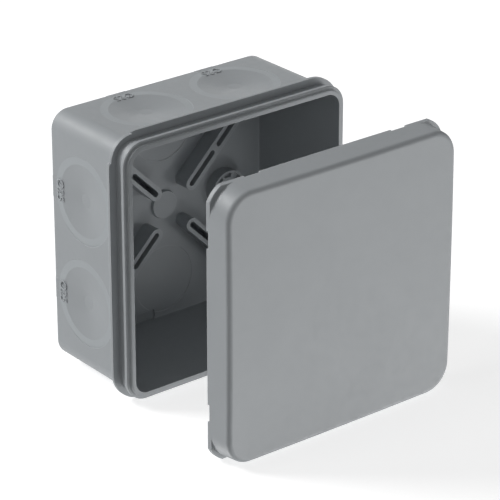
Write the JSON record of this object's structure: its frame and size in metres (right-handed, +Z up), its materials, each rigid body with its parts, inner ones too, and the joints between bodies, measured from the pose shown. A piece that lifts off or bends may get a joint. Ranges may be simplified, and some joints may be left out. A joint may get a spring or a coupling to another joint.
{
  "type": "junction box",
  "caption": "Square surface-mounted junction box with dished membrane cable entries, slotted screw ribs on the floor and a push-on lid, shown with the lid taken straight off.",
  "frame": {"origin": "centre of the flat back face that lies on the wall", "axes": "+Y into the wall, so the open front faces -Y; +Z up as the box hangs on a wall; +X to the right as seen from the front"},
  "size_m": [0.085, 0.0867, 0.085],
  "materials": {
    "grey_plastic": "fine moulded texture",
    "seal_elastomer": "matt"
  },
  "bodies": {
    "box": {"box_body": "grey_plastic"},
    "cover": {"lid": "grey_plastic", "lid_seal": "seal_elastomer"}
  },
  "joints": [
    {"name": "lid_pull", "type": "slide", "parent": "box", "child": "cover", "axis": [0, 1, 0], "range_m": [0, 0.0442]}
  ]
}
